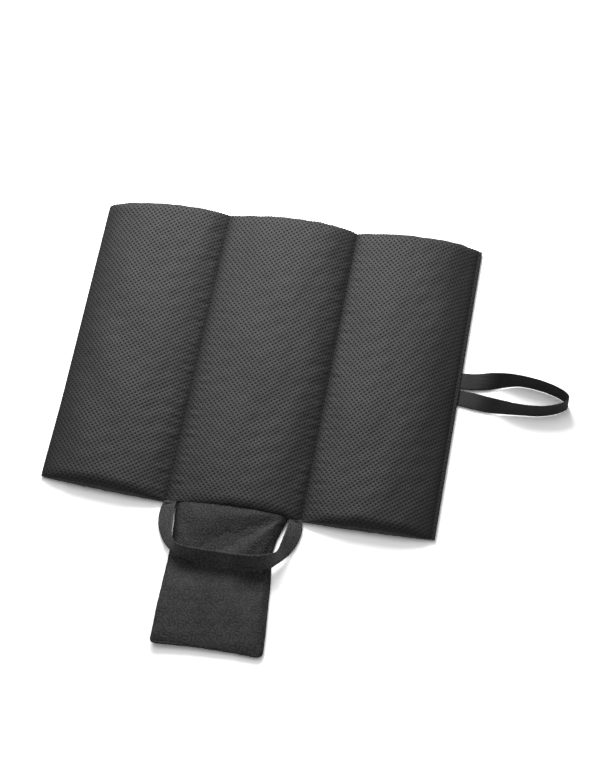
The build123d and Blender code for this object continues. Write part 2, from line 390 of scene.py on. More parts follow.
def wovenMaterial(name, look):
    material, tree, shader, cloth = startMaterial(name, look["roughness"], look["sheen"], look["gloss"])
    weave = useGroup(tree, weaveGroup, cloth, **{"Threads per mm": look["threads"]})
    mottle = useGroup(tree, mottleGroup, cloth, **{"Cloud Size": 22.0, "Fleck Size": 1.9})
    fleck = mapRange(tree, mottle["Flecks"], 0.38, 0.62)
    share = maths(tree, "MULTIPLY_ADD", weave["Thread"], 0.3, maths(tree, "MULTIPLY", fleck, 0.7))
    share = maths(tree, "MULTIPLY_ADD", mottle["Clouds"], 0.7, maths(tree, "SUBTRACT", share, 0.35), clamp=True)
    colour = mixColour(tree, share, grey(look["dark"]), grey(look["light"]))
    tree.links.new(colour, shader.inputs["Base Color"])
    addBump(tree, shader, maths(tree, "MULTIPLY_ADD", fleck, 1.6, weave["Height"]), 0.00016, 0.9)
    return material


def elasticMaterial(name):
    # ribs along the band, crossed by fine weft
    material, tree, shader, cloth = startMaterial(name, 0.6, 0.0, 0.25)
    parts = addNode(tree, "ShaderNodeSeparateXYZ", in0=cloth)
    rib = maths(
        tree,
        "MULTIPLY_ADD",
        maths(tree, "COSINE", maths(tree, "MULTIPLY", parts.outputs[1], 2 * math.pi / 1.5)),
        0.5,
        0.5,
    )
    weft = maths(
        tree,
        "MULTIPLY_ADD",
        maths(tree, "COSINE", maths(tree, "MULTIPLY", parts.outputs[0], 2 * math.pi / 0.7)),
        0.5,
        0.5,
    )
    mottle = useGroup(tree, mottleGroup, cloth, **{"Cloud Size": 25.0, "Fleck Size": 1.0})
    share = maths(
        tree,
        "MULTIPLY_ADD",
        rib,
        0.5,
        maths(tree, "MULTIPLY_ADD", weft, 0.2, maths(tree, "MULTIPLY", mottle["Flecks"], 0.4)),
    )
    tree.links.new(mixColour(tree, share, grey(0.007), grey(0.022)), shader.inputs["Base Color"])
    addBump(tree, shader, maths(tree, "MULTIPLY_ADD", weft, 0.35, rib), 0.00018, 0.9)
    return material


def threadMaterial(name, dark, light):
    material, tree, shader, cloth = startMaterial(name, 0.55, 0.0, 0.35)
    parts = addNode(tree, "ShaderNodeSeparateXYZ", in0=cloth)
    twist = maths(tree, "MULTIPLY", maths(tree, "ADD", parts.outputs[0], parts.outputs[1]), 2 * math.pi / 0.45)
    ply = maths(tree, "MULTIPLY_ADD", maths(tree, "SINE", twist), 0.5, 0.5)
    tree.links.new(mixColour(tree, ply, grey(dark), grey(light)), shader.inputs["Base Color"])
    addBump(tree, shader, ply, 0.00008, 0.8)
    return material


def foamMaterial(name):
    material, tree, shader, cloth = startMaterial(name, 0.9, 0.0, 0.2)
    cells = addNode(tree, "ShaderNodeTexVoronoi", {"voronoi_dimensions": "2D"}, Vector=cloth, Scale=1.1)
    share = mapRange(tree, cells.outputs["Distance"], 0.1, 0.6)
    tree.links.new(mixColour(tree, share, grey(0.12), grey(0.3)), shader.inputs["Base Color"])
    addBump(tree, shader, share, 0.0004, 0.8)
    return material


meshCloth = spacerMeshMaterial("spacerMesh", meshLook)
flatMesh = spacerMeshMaterial("pressedMesh", {**meshLook, "dark": 0.008, "light": 0.025})
wovenCloth = wovenMaterial("wovenCloth", wovenLook)
sideCloth = wovenMaterial("sideCloth", {**wovenLook, "dark": 0.016, "light": 0.06})
seamCloth = wovenMaterial("seamCloth", {**wovenLook, "dark": 0.004, "light": 0.024})
strapCloth = wovenMaterial(
    "strapCloth", {**wovenLook, "dark": 0.016, "light": 0.068, "gloss": 0.35, "threads": 2.0}
)
elasticBand = elasticMaterial("elasticBand")
darkThread = threadMaterial("darkThread", 0.006, 0.02)
paleThread = threadMaterial("paleThread", 0.012, 0.05)
padFoam = foamMaterial("padFoam")
print("materials ready")

# Plan and section of the mat. Heights are above the floor.
mat = {
    "leftEdge": -199.4,
    "rightEdge": 200.4,
    "seams": (-70, 67),
    "columns": (148, 156, 152),
    "crowns": (12.6, 11.2, 13.2),
    "leansBack": (0.88, 1.32, 1.25),
    "leansFront": (0.95, 1.15, 1.1),
    "chordX": (-200, -70, 67, 200),
    "frontChord": (-168.3, -176.6, -176.6, -175.5),
    "backChord": (170.4, 179.2, 177.8, 176.6),
    "frontBulges": (1.2, -1.4, 1.3),
    "backBulge": 2.8,
    "leftDrawnIn": 1.5,
    "leftFlange": 0.8,
    "rightFlange": 3.8,
    "edgeHeight": 4.0,
    "valleyHeight": 3.6,
    "seamLow": 3.0,
    "seamLifts": (7.0, 7.8, 7.2),
    "roundRun": 10.5,
    "roundRows": 14,
    "middleRows": 362,
    "thickness": 2.0,
    "blendColumns": (16, 24),
}


def matColumns():
    ends = [mat["leftEdge"], *mat["seams"], mat["rightEdge"]]
    runs = [np.linspace(a, b, n + 1)[:-1] for a, b, n in zip(ends, ends[1:], mat["columns"])]
    return np.append(np.concatenate(runs), ends[-1])


def crown(x, lean):
    # how swollen the panels are at each x, from 0 at the seams to 1 along each crown,
    # and the crown's height there
    ends = [mat["leftEdge"] + mat["leftFlange"], *mat["seams"], mat["rightEdge"] - mat["rightFlange"]]
    shape, height = np.zeros_like(x), np.zeros_like(x)
    for k in range(3):
        inside = (x >= ends[k]) & (x <= ends[k + 1])
        share = np.clip((x - ends[k]) / (ends[k + 1] - ends[k]), 0, 1)
        arch = np.clip(1 - np.abs(2 * share ** lean[k] - 1) ** 2.3, 0, 1) ** 0.84
        shape = np.where(inside, arch, shape)
        height = np.where(inside, mat["crowns"][k] * arch, height)
    return shape, height


def seamGap(x):
    return np.minimum(np.abs(x - mat["seams"][0]), np.abs(x - mat["seams"][1]))


def matEdges(x):
    bulge = np.array(mat["frontBulges"])[np.searchsorted(mat["seams"], x)]
    front = np.interp(x, mat["chordX"], mat["frontChord"]) - bulge * crown(x, (1, 1, 1))[0]
    back = np.interp(x, mat["chordX"], mat["backChord"]) + mat["backBulge"] * crown(x, mat["leansBack"])[0]
    return front, back


def seamHeight(x, lean=(1, 1, 1)):
    lift = np.array(mat["seamLifts"])[np.searchsorted(mat["seams"], x)]
    return mat["seamLow"] + lift * crown(x, lean)[0]


def edgeHeight(x):
    nearSeam = np.exp(-((seamGap(x) / 12) ** 2))
    return mat["edgeHeight"] + (mat["valleyHeight"] - mat["edgeHeight"]) * nearSeam


def leftShift(x, y):
    # the free left edge is drawn in a little, except at its front corner
    return mat["leftDrawnIn"] * smooth((-140 - x) / 58) * smooth((y + 172) / 110)


def topHeight(x, y):
    # the mesh cover's upper surface, away from its rounded front and back
    towardsBack = smooth((y + 120) / 240)
    front, back = crown(x, mat["leansFront"])[1], crown(x, mat["leansBack"])[1]
    swell = front + (back - front) * towardsBack
    soft = np.minimum(swell / 6, 1)
    z = edgeHeight(x) + swell + 0.45 * soft * ripple(x, y, 75, 3) + 0.16 * soft * ripple(x, y, 22, 5)
    pull = np.exp(-np.abs(seamGap(x) - 4) / 7) * ripple(0.3 * x, y, 11, 8)  # puckers beside the fold seams
    return z + 0.6 * pull * np.minimum(swell / 3, 1)


def matTop():
    columns, turns, middle = matColumns(), mat["roundRows"], mat["middleRows"]
    k = np.arange(2 * turns + middle + 1)
    bend = np.clip(np.minimum(k, k[::-1]) / turns, 0, 1) * math.pi / 2
    x = columns[:, None] + 0 * bend[None, :]
    front, back = matEdges(columns)
    run = mat["roundRun"]
    between = np.clip((k - turns) / middle, 0, 1)[None, :]
    y = (front[:, None] + run) * (1 - between) + (back[:, None] - run) * between
    inset = run * np.cos(bend)[None, :]
    y = y + np.where(k <= turns, -inset, np.where(k >= turns + middle, inset, 0))
    low = np.where(k < turns + middle / 2, seamHeight(x), seamHeight(x, mat["leansBack"]))
    z = low + (topHeight(x, y) - low) * np.sin(bend)[None, :]
    edgeWave = ripple(x, y, 26, 21) * np.cos(bend)[None, :]  # the sewn edge isn't quite straight
    y = y + 0.45 * edgeWave
    points = np.stack([x + leftShift(x, y), y, z], -1)
    flatZ = topHeight(columns, 0 * columns)
    u = np.append(0, np.cumsum(np.hypot(np.diff(columns), np.diff(flatZ))))
    rowStep = (np.median(back - front) - 2 * run) / middle
    quarter = math.pi / 2 * (run + 7) / 2
    v = np.where(k <= turns, k * quarter / turns, quarter + (k - turns) * rowStep)
    v = np.where(k > turns + middle, quarter + middle * rowStep + (k - turns - middle) * quarter / turns, v)
    cloth = np.stack([u[:, None] + 0 * v, v[None, :] + 0 * x], -1)
    return columns, points, cloth


columns, smoothTop, topCloth = matTop()
topNormals = surfaceNormals(smoothTop)
swollen = crown(smoothTop[..., 0], (1, 1, 1))[1]
pressedAndShaded = smooth(swollen / 4.4)  # 0 where the knit is sewn flat at the seams and flanges, 1 where it is free; the band is made wide enough to paint the shade of the seam valleys beside them
pulledAndShaded = smooth((-174 - smoothTop[..., 0]) / 26) + 0.4 * smooth((-118 - smoothTop[..., 1]) / 50)
pressedAndShaded = pressedAndShaded * (1 - 0.45 * np.minimum(pulledAndShaded, 1))  # and lower along the left edge and the front: painted shade where the mesh turns away from the light there, and shallower holes where it is pulled tight over an edge
relief = -meshKnit["holeDepth"] * knitHoles(topCloth[..., 0], topCloth[..., 1]) * (0.3 + 0.7 * pressedAndShaded)
knitTop = smoothTop + topNormals * relief[..., None]
knitNormals = surfaceNormals(knitTop)

# Each fold's zone lies wholly in the left or the right piece, and the middle piece stays rigid
firstSeam, lastSeam = mat["columns"][0], mat["columns"][0] + mat["columns"][1]
cuts = (firstSeam + mat["blendColumns"][0], lastSeam - mat["blendColumns"][1])
spans = {"left": (0, cuts[0]), "middle": (cuts[0], cuts[1]), "right": (cuts[1], len(columns) - 1)}


def followFold(piece, side):
    if side == "middle":
        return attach(piece, "middle_panel")
    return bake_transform(piece)


for side, (a, b) in spans.items():
    outer, cloth = knitTop[a : b + 1], topCloth[a : b + 1]
    inner = (smoothTop - topNormals * mat["thickness"])[a : b + 1 : 2, ::2]
    cover = shellPiece(f"meshCover_{side}", outer, inner, cloth, meshCloth, ratio=2)
    # per point, 1 where the knit is flattened or takes painted shade, for the material's darkening
    flatAndShaded = cover.data.attributes.new("pressedAndShaded", "FLOAT", "POINT")
    flatAndShaded.data.foreach_set(
        "value", np.append(1 - pressedAndShaded[a : b + 1], np.ones(inner[..., 0].size)).astype(np.float32)
    )
    keepNormals(cover, knitNormals[a : b + 1], {"left": [-1], "middle": [0, -1], "right": [0]}[side])
    followFold(cover, side)
    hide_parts(f"mesh_cover_{side}")
print("mesh covers ready")

# Woven cloth: the underside, turned up in front and behind to meet the mesh
base = {
    "floor": 0.45,
    "thickness": 0.9,
    "wallRows": 9,
    "bottomRows": 84,
    "outward": 0.9,
    "belly": 1.5,
    "tuck": 0.8,
    "turnUp": 1.5,
}


def baseSection(x, front, back, seamFront, seamBack, swell, layer):
    # one column, from the front seam down, along the underside and up to the back seam
    down = np.linspace(0, 1, base["wallRows"])
    floor = (
        base["floor"]
        + layer
        + base["turnUp"] * (smooth((mat["leftEdge"] + 6 - x) / 6) + smooth((x - mat["rightEdge"] + 6) / 6))
    )
    floor = floor + 0.7 * np.exp(-((seamGap(x) / 2.2) ** 2))
    rows = []
    for edge, seam, way in ((front, seamFront, 1), (back, seamBack, -1)):
        out = base["outward"] * down ** 0.5 + base["belly"] * swell * np.sin(math.pi * down ** 0.85)
        wallY = edge + way * (base["tuck"] + layer * 0.9 - out + 3.4 * down ** 5)
        wallZ = (seam + 0.5 - layer * 0.3) * (1 - down) ** 1.1 + floor * (1 - (1 - down) ** 1.1)
        rows.append(np.stack([np.full_like(down, x), wallY, wallZ], 1))
    across = np.linspace(0, 1, base["bottomRows"])[1:-1]
    bottomY = rows[0][-1, 1] * (1 - across) + rows[1][-1, 1] * across
    bottom = np.stack([np.full_like(across, x), bottomY, np.full_like(across, floor)], 1)
    return np.concatenate([rows[0], bottom, rows[1][::-1]])


baseX = columns[::2].copy()
baseX[0], baseX[-1] = baseX[0] + 0.4, baseX[-1] - 0.4
frontEdge, backEdge = matEdges(baseX)
frontSeam, backSeam = seamHeight(baseX), seamHeight(baseX, mat["leansBack"])
wallSwell = crown(baseX, (1, 1, 1))[0]
layers = []
for layer in (0, base["thickness"]):
    grid = [
        baseSection(*column, layer)
        for column in zip(baseX, frontEdge, backEdge, frontSeam, backSeam, wallSwell)
    ]
    layers.append(np.array(grid))
crease = np.exp(-np.abs(layers[0][..., 1] + 172) / 12) + np.exp(-np.abs(layers[0][..., 1] - 174) / 12)
crinkle = 0.5 * ripple(layers[0][..., 0], 2.5 * layers[0][..., 2], 13, 31) * crease
for grid in layers:
    lift = np.clip((grid[..., 2] - 1.5) / 3, 0, 1)
    grid[..., 1] += crinkle * lift * np.sign(grid[..., 1]) * 0.8
    grid[..., 0] += leftShift(grid[..., 0], grid[..., 1])
path = np.append(0, np.cumsum(np.linalg.norm(np.diff(layers[0][60], axis=0), axis=1)))
baseCloth = np.stack([baseX[:, None] + 0 * path, path[None, :] + 0 * layers[0][..., 0]], -1)
baseNormals = surfaceNormals(layers[0]) * -1
for side, (a, b) in spans.items():
    a, b = a // 2, b // 2
    piece = shellPiece(
        f"baseCloth_{side}", layers[0][a : b + 1], layers[1][a : b + 1], baseCloth[a : b + 1], sideCloth
    )
    keepNormals(piece, baseNormals[a : b + 1], {"left": [-1], "middle": [0, -1], "right": [0]}[side])
    followFold(piece, side)
    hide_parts(f"base_cloth_{side}")
print("woven underside ready")

# Foam pads, out of sight between the two cloths
foam = {"left": (mat["leftEdge"] + 4.5, -76), "middle": (-55, 45), "right": (73, mat["rightEdge"] - 7)}
for side, (startX, endX) in foam.items():
    x = np.linspace(startX, endX, 41)
    front, back = matEdges(x)
    share = np.linspace(0, 1, 71)
    y = (front[:, None] + 5) * (1 - share) + (back[:, None] - 5) * share
    x = x[:, None] + 0 * y
    endRound = 1 - np.clip(1 - np.minimum(y - y[:, :1], y[:, -1:] - y) / 7, 0, 1) ** 2
    top = np.maximum(2.2, 1.8 + (topHeight(x, y) - mat["thickness"] - 2.6) * (0.45 + 0.55 * np.sqrt(endRound)))
    upper, lower = np.stack([x, y, top], -1), np.stack([x, y, 0 * x + 1.7], -1)
    pad = shellPiece(f"foamPad_{side}", upper, lower, np.stack([x, y], -1), padFoam)
    followFold(pad, side)
    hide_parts(f"foam_pad_{side}")

# Tape sewn between the two cloths under each fold
tape = {"halfWidth": 2.6, "thickness": 1.0, "height": 2.5}
for side, seamX in zip(("left", "right"), mat["seams"]):
    x = np.linspace(-1, 1, 9) * tape["halfWidth"] + seamX
    edges = matEdges(np.array([float(seamX)]))
    y = np.linspace(edges[0][0] + 2, edges[1][0] - 2, 180)
    x, y = np.meshgrid(x, y, indexing="ij")
    z = tape["height"] - 0.35 * ((x - seamX) / tape["halfWidth"]) ** 2 + 0.08 * ripple(x, y, 9, 40)
    upper, lower = np.stack([x, y, z], -1), np.stack([x, y, z - tape["thickness"]], -1)
    piece = shellPiece(f"foldTape_{side}", upper, lower, np.stack([x, y], -1), flatMesh)
    followFold(piece, side)
    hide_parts(f"fold_seam_{side}")
print("foam and fold tapes ready")

# Thread: two rows along each fold, a row at the front and back seams, and one down each free end
foldStitch = {"pitch": 4.2, "length": 3.1, "width": 0.75, "rise": 0.3, "rowOffset": 1.1}
seamStitch = {"pitch": 3.3, "length": 2.3, "width": 0.7, "rise": 0.32}
edgeStitch = {"pitch": 3.6, "length": 2.7, "width": 0.75, "rise": 0.34, "inset": 3.0}


def topLine(x):
    # a line of surface points and normals along Y, read off the mesh cover at x
    at = np.interp(x, columns, np.arange(len(columns)))
    low, share = int(at), at - int(at)
    high = min(low + 1, len(columns) - 1)
    rows = slice(mat["roundRows"], -mat["roundRows"])
    line = smoothTop[low, rows] * (1 - share) + smoothTop[high, rows] * share
    return line, topNormals[low, rows]


for side, seamX in zip(("left", "right"), mat["seams"]):
    rows = [topLine(seamX + way * foldStitch["rowOffset"]) for way in (-1, 1)]
    rows = [(line, np.tile([0.0, 0.0, 1.0], (len(line), 1))) for line, facing in rows]
    thread = stitchRun(f"foldStitching_{side}", rows, darkThread, foldStitch)
    followFold(thread, side)
    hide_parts(f"fold_stitching_{side}")

for side, (a, b) in spans.items():
    rows = []
    for row, way in ((1, -1), (-2, 1)):
        line = smoothTop[a : b + 1, row] + np.array([0, way * 0.1, 0])
        facing = np.tile([0.0, way * 0.94, 0.34], (len(line), 1))
        rows.append((line[3:-3], facing[3:-3]))
    if side == "left":
        line = smoothTop[0, 8:-8] + np.array([-0.05, 0, -0.9])
        rows.append((line, np.tile([-1.0, 0.0, 0.0], (len(line), 1))))
    thread = stitchRun(f"edgeStitching_{side}", rows, darkThread, seamStitch)
    if side == "right":
        topstitch = stitchRun(
            "edgeTopstitch", [topLine(mat["rightEdge"] - edgeStitch["inset"])], paleThread, edgeStitch
        )
        followFold(topstitch, "right")
        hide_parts("edge_stitching_right")
    followFold(thread, side)
    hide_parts(f"edge_stitching_{side}")
print("stitching ready")


def throughPoints(rows, steps):
    # a smooth line through the given points, by Catmull-Rom spans
    rows = np.array(rows, float)
    padded = np.concatenate([2 * rows[:1] - rows[1:2], rows, 2 * rows[-1:] - rows[-2:-1]])
    t = np.linspace(0, 1, steps + 1)[:-1, None]
    spansOut = []
    for k in range(1, len(padded) - 2):
        a, b, c, d = padded[k - 1 : k + 3]
        spansOut.append(
            0.5
            * (2 * b + (c - a) * t + (2 * a - 5 * b + 4 * c - d) * t**2 + (3 * b - a - 3 * c + d) * t**3)
        )
    return np.concatenate([*spansOut, rows[-1:]])


def ribbonPieces(parts, stations, material, shape):
    # a flat strap between two edge lines, with a thicker hem along both edges,
    # cut at the stations given in parts
    upper = throughPoints([s[0] for s in stations], shape["steps"])
    lower = throughPoints([s[1] for s in stations], shape["steps"])
    share = np.array(shape["across"])
    middle = upper[:, None] * (1 - share[None, :, None]) + lower[:, None] * share[None, :, None]
    normals = surfaceNormals(middle)
    half = np.array(shape["half"])[None, :, None]
    width = np.median(np.linalg.norm(upper - lower, axis=1))
    length = np.append(0, np.cumsum(np.linalg.norm(np.diff((upper + lower) / 2, axis=0), axis=1)))
    wave = (
        0.14
        * ripple(length[:, None] + 0 * share, share[None, :] * width + 0 * length[:, None], 12, 60)[..., None]
    )
    middle = middle + normals * wave
    cloth = np.stack([length[:, None] + 0 * share, share[None, :] * width + 0 * length[:, None]], -1)
    made = []
    for name, (first, last) in parts.items():
        rows = slice(first * shape["steps"], last * shape["steps"] + 1)
        upperSide, lowerSide = (middle + normals * half)[rows], (middle - normals * half)[rows]
        made.append(shellPiece(name, upperSide, lowerSide, cloth[rows], material))
        cutEnds = [end for end, isCut in ((0, first > 0), (-1, last < len(stations) - 1)) if isCut]
        keepNormals(made[-1], normals[rows], cutEnds)
    return made


# Elastic loop: flat in the seam, turned on edge further out.
# Each pair is the upper or inner edge, then the other.
loopStations = [
    ((196.5, 23.0, 2.7), (196.5, 4.2, 2.7)),
    ((201.5, 23.2, 3.0), (201.5, 4.4, 3.0)),
    ((215.5, 23.8, 4.8), (215.5, 5.6, 2.6)),
    ((231.5, 24.0, 11.2), (231.5, 9.2, 1.6)),
    ((247.5, 21.8, 17.6), (249.5, 16.0, 0.9)),
    ((263.5, 19.9, 19.8), (263.5, 18.7, 0.7)),
    ((283.5, 17.0, 20.0), (283.5, 16.6, 0.7)),
    ((299.5, 12.0, 20.0), (299.5, 11.8, 0.7)),
    ((309.2, 6.6, 19.8), (309.2, 6.5, 0.7)),
    ((311.6, 2.2, 19.6), (311.6, 2.2, 0.7)),
    ((309.2, -2.6, 19.4), (309.2, -2.6, 0.7)),
    ((300.0, -8.4, 19.4), (300.0, -8.6, 0.7)),
    ((283.5, -12.9, 19.4), (283.5, -13.6, 0.7)),
    ((263.5, -14.0, 19.2), (263.5, -15.8, 0.8)),
    ((247.5, -11.5, 17.6), (247.5, -17.2, 1)),
    ((231.5, -5.8, 11.6), (231.5, -18.6, 1.7)),
    ((215.5, 0.2, 5.0), (215.5, -17.2, 2.3)),
    ((201.5, 3.0, 1.9), (201.5, -15.2, 1.9)),
    ((196.5, 3.4, 1.7), (196.5, -15.4, 1.7)),
]
elasticShape = {
    "steps": 6,
    "across": [0, 0.03, 0.09, 0.2, 0.35, 0.5, 0.65, 0.8, 0.91, 0.97, 1],
    "half": [0.3, 0.52, 0.6, 0.56, 0.56, 0.56, 0.56, 0.56, 0.6, 0.52, 0.3],
}
(loop,) = ribbonPieces({"elasticLoop": (0, len(loopStations) - 1)}, loopStations, elasticBand, elasticShape)
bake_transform(loop)
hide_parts("elastic_loop")

# Carry strap: sewn flat beside the pouch, legs splayed, the front span standing on edge
handleStations = [
    ((-59.2, -175.9, 5.6), (-72.2, -175.9, 3.5)),
    ((-59.4, -178.6, 5.8), (-72.8, -178.6, 3.2)),
    ((-59.8, -185, 7.1), (-74.1, -185, 2.75)),
    ((-59.2, -194, 9.6), (-74.2, -195, 2.4)),
    ((-57.8, -205, 13.4), (-72.0, -206, 2.4)),
    ((-56.4, -217, 17.6), (-66.4, -218, 3.4)),
    ((-52.6, -227.0, 19.4), (-59.0, -228, 5.4)),
    ((-46.6, -231.0, 20.0), (-48.4, -235.6, 5.2)),
    ((-34, -232.4, 20.0), (-34.6, -240.6, 4.4)),
    ((-18, -233, 20.4), (-18, -243.6, 4)),
    ((0, -233.0, 20.4), (0, -244.2, 4)),
    ((18, -232.8, 21.0), (18.6, -243.4, 3.9)),
    ((32, -231.8, 22.0), (33.0, -240.6, 3.9)),
    ((42.4, -229.6, 22.8), (44.4, -235, 3.8)),
    ((49.8, -225.4, 22.6), (53.8, -225, 3.2)),
    ((52.0, -214.6, 18.4), (61.8, -214.4, 2.4)),
    ((53.2, -202.0, 13.8), (66.8, -202.4, 2.2)),
    ((54.2, -190, 9.4), (69.0, -190.4, 2.6)),
    ((54.5, -185, 7.6), (69.2, -185, 2.9)),
    ((54.4, -178.6, 5.6), (67.8, -178.6, 3.2)),
    ((54.2, -175.6, 5.4), (67.4, -175.6, 3.4)),
]
handleShape = {
    "steps": 6,
    "across": [0, 0.03, 0.08, 0.12, 0.15, 0.3, 0.5, 0.7, 0.85, 0.88, 0.92, 0.97, 1],
    "half": [0.35, 0.66, 0.74, 0.7, 0.5, 0.6, 0.62, 0.6, 0.5, 0.7, 0.74, 0.66, 0.35],
}
rootEnd, farRoot = 2, len(handleStations) - 3  # the stations where the strap is clear of the seam
strapParts = {
    "strapRoot_left": (0, rootEnd),
    "carryStrap": (rootEnd, farRoot),
    "strapRoot_right": (farRoot, farRoot + 2),
}
straps = ribbonPieces(strapParts, handleStations, strapCloth, handleShape)
for piece in straps:
    if piece is straps[1]:
        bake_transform(piece)
    else:
        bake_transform(piece)
    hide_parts("handle_strap")
print("loop and carry strap ready")

# Pouch: two layers of woven cloth, gathered towards the strap's right end
pouch = {
    "topY": -175.5,
    "bottomY": -332.5,
    "leftX": (
        (-333, -55.4), (-300, -55.8), (-258, -55.8), (-219, -55.6),
        (-205, -56.6), (-188, -58.2), (-175, -59),
    ),
    "rightX": (
        (-333, 54.5), (-300, 52), (-258, 48.6), (-235, 45.6),
        (-216, 43.4), (-200, 45.6), (-185, 49.8), (-172, 53.5),
    ),
    "corners": (3.6, 5.5),
    "across": 120,
    "along": 170,
    "cloth": 0.7,
}


def pouchPlan(mouth=None):
    # rows of points from the closed end to the mat, with rounded lower corners
    top = pouch["topY"] if mouth is None else mouth
    v = np.linspace(0, 1, pouch["along"]) ** 0.93
    y = pouch["bottomY"] + (top - pouch["bottomY"]) * v
    left = np.interp(y, *np.array(pouch["leftX"]).T)
    right = np.interp(y, *np.array(pouch["rightX"]).T)
    for _ in range(6):
        left[1:-1] = (left[:-2] + 2 * left[1:-1] + left[2:]) / 4
        right[1:-1] = (right[:-2] + 2 * right[1:-1] + right[2:]) / 4
    cut = [
        size * (1 - np.sqrt(1 - np.clip(1 - (y - pouch["bottomY"]) / size, 0, 1) ** 2))
        for size in pouch["corners"]
    ]
    u = np.linspace(0, 1, pouch["across"])
    u = 0.5 - 0.5 * np.sign(0.5 - u) * np.abs(1 - 2 * u) ** 0.9
    x = (left + cut[0])[None, :] * (1 - u[:, None]) + (right - cut[1])[None, :] * u[:, None]
    y = y[None, :] + 0 * x
    if mouth is None:  # the sewn end follows the mat's front seam
        y = y + (matEdges(x[:, -1])[0] - 0.7 - top)[:, None] * smooth((y + 200) / 25)
    arch = (1.2 * np.sin(math.pi * u) - 2.2 * (1 - u) ** 3)[:, None] * np.clip(1 - v * 4, 0, 1)[None, :]
    return x, y + arch, u[:, None] + 0 * x, v[None, :] + 0 * x


def pouchRest(x, y):
    # height of the mid-line between the layers: flat, then rising towards the closed end,
    # more at its left corner
    tip = smooth((-238 - y) / 60)
    return 1.75 + tip * (2.7 - 1.3 * x / 55) + 0.25 * ripple(x, y, 60, 71)


def pouchFolds(x, y):
    # creases that fan out from the gathered corner, and slack cloth below the strap
    dx, dy = x - 52, y + 175
    far, angle = np.hypot(dx, dy), np.degrees(np.arctan2(-dy, -dx))
    fan = (
        np.cos(np.radians((angle - 11) * 360 / 44))
        + 0.16 * np.cos(np.radians((angle - 30) * 360 / 21 + far))
    )
    fade = (0.3 + 0.021 * far) * smooth(far / 20) * np.exp(-((far / 88) ** 4)) * smooth((86 - angle) / 14)
    slack = ripple(0.5 * x + 0.2 * y, 0.22 * x - 0.16 * y, 16, 75) * smooth((y + 262) / 30) * 0.5
    low = ripple(x, 0.3 * y, 24, 77) * smooth((-y - 240) / 30) * smooth((x + 25) / 50) * 0.4
    return 1.95 * fan * fade + slack + low + 0.25 * ripple(x, y, 18, 79)


x, y, u, v = pouchPlan()
closed = np.clip(np.minimum(np.minimum(u, 1 - u) * 112 / 9, (y - pouch["bottomY"] + 0.4) / 17), 0, 1)
puff = (1 - (1 - closed) ** 2.2) ** 0.6
toMat = np.clip((y + 234) / 58, 0, 1)
dome = 3.2 * smooth((-236 - y) / 42) * (1 - smooth((-270 - y) / 66))  # slack air below the strap
front = pouchRest(x, y) + puff * (3.0 + dome + np.maximum(pouchFolds(x, y), -1.6) * (1 - 0.7 * toMat**4))
seamTop = np.interp(x, columns, seamHeight(columns)) - 0.6
front = front + np.maximum(seamTop - 3.6, 1.2) * toMat * (0.7 + 0.3 * puff)
frontOuter = np.stack([x, y, front], -1)
frontNormals = surfaceNormals(frontOuter)
pouchCloth = np.stack([x, y], -1)
pouchFront = shellPiece(
    "pouchFront", frontOuter, frontOuter - frontNormals * pouch["cloth"], pouchCloth, wovenCloth
)
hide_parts("pouch_front")

x, y, u, v = pouchPlan(mouth=-189.5)
closed = np.clip(np.minimum(np.minimum(u, 1 - u) * 112 / 7, (y - pouch["bottomY"] + 0.5) / 7), 0, 1)
sag = (1 - (1 - closed) ** 2) ** 0.6
back = pouchRest(x, y) - 0.2 - sag * (0.35 + 0.15 * ripple(x, y, 35, 83))
back = np.maximum(back, 1.0)
backUpper = np.stack([x, y, back], -1)
backLower = backUpper - np.array([0, 0, pouch["cloth"]])
pouchBack = shellPiece("pouchBack", backUpper, backLower, np.stack([x, y], -1), wovenCloth)
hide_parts("pouch_back")

# The mouth's hem is folded inwards over the back layer
hemRows = y[0] > -199.5
hemUpper = backUpper[4:-4][:, hemRows] + np.array([0, 0, 0.55])
hem = shellPiece(
    "pouchMouthHem",
    hemUpper,
    hemUpper - np.array([0, 0, 0.5]),
    np.stack([x, y], -1)[4:-4][:, hemRows],
    wovenCloth,
)
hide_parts("pouch_mouth_hem")

# Rolled seam round the sides and the closed end
x, y, u, v = pouchPlan()
edge = np.concatenate(
    [
        np.stack([x[0], y[0]], 1)[::-1],
        np.stack([x[:, 0], y[:, 0]], 1)[1:-1],
        np.stack([x[-1], y[-1]], 1),
    ]
)
edge = np.concatenate(
    [edge[:1], edge[1:-1][np.linalg.norm(np.diff(edge, axis=0), axis=1)[:-1] > 0.2], edge[-1:]]
)
edgeRun = np.append(0, np.cumsum(np.linalg.norm(np.diff(edge, axis=0), axis=1)))
even = np.linspace(0, edgeRun[-1], 420)
edge = np.stack([np.interp(even, edgeRun, edge[:, k]) for k in range(2)], 1)
for _ in range(3):
    edge[1:-1] = (edge[:-2] + 2 * edge[1:-1] + edge[2:]) / 4
ahead = np.gradient(edge, axis=0)
ahead /= np.linalg.norm(ahead, axis=1)[:, None]
outward = np.stack([ahead[:, 1] * -1, ahead[:, 0]], 1) * -1
nearMat = smooth((edge[:, 1] + 196) / 20)
lift = pouchRest(edge[:, 0], edge[:, 1]) + nearMat * 1.6
turn = np.linspace(0, 2 * math.pi, 11)[:-1]
swell = 1.15 + 0.16 * ripple(even, 0 * even, 14, 91)
ringOut = np.cos(turn)[None, :] * swell[:, None] * 1.15
points = np.stack(
    [
        edge[:, None, 0] + outward[:, None, 0] * (ringOut - 0.5),
        edge[:, None, 1] + outward[:, None, 1] * (ringOut - 0.5),
        np.maximum(lift[:, None] + np.sin(turn)[None, :] * swell[:, None], 0.25),
    ],
    -1,
)
ids = np.arange(points[..., 0].size).reshape(points.shape[:2])
around = np.roll(ids, -1, 1)
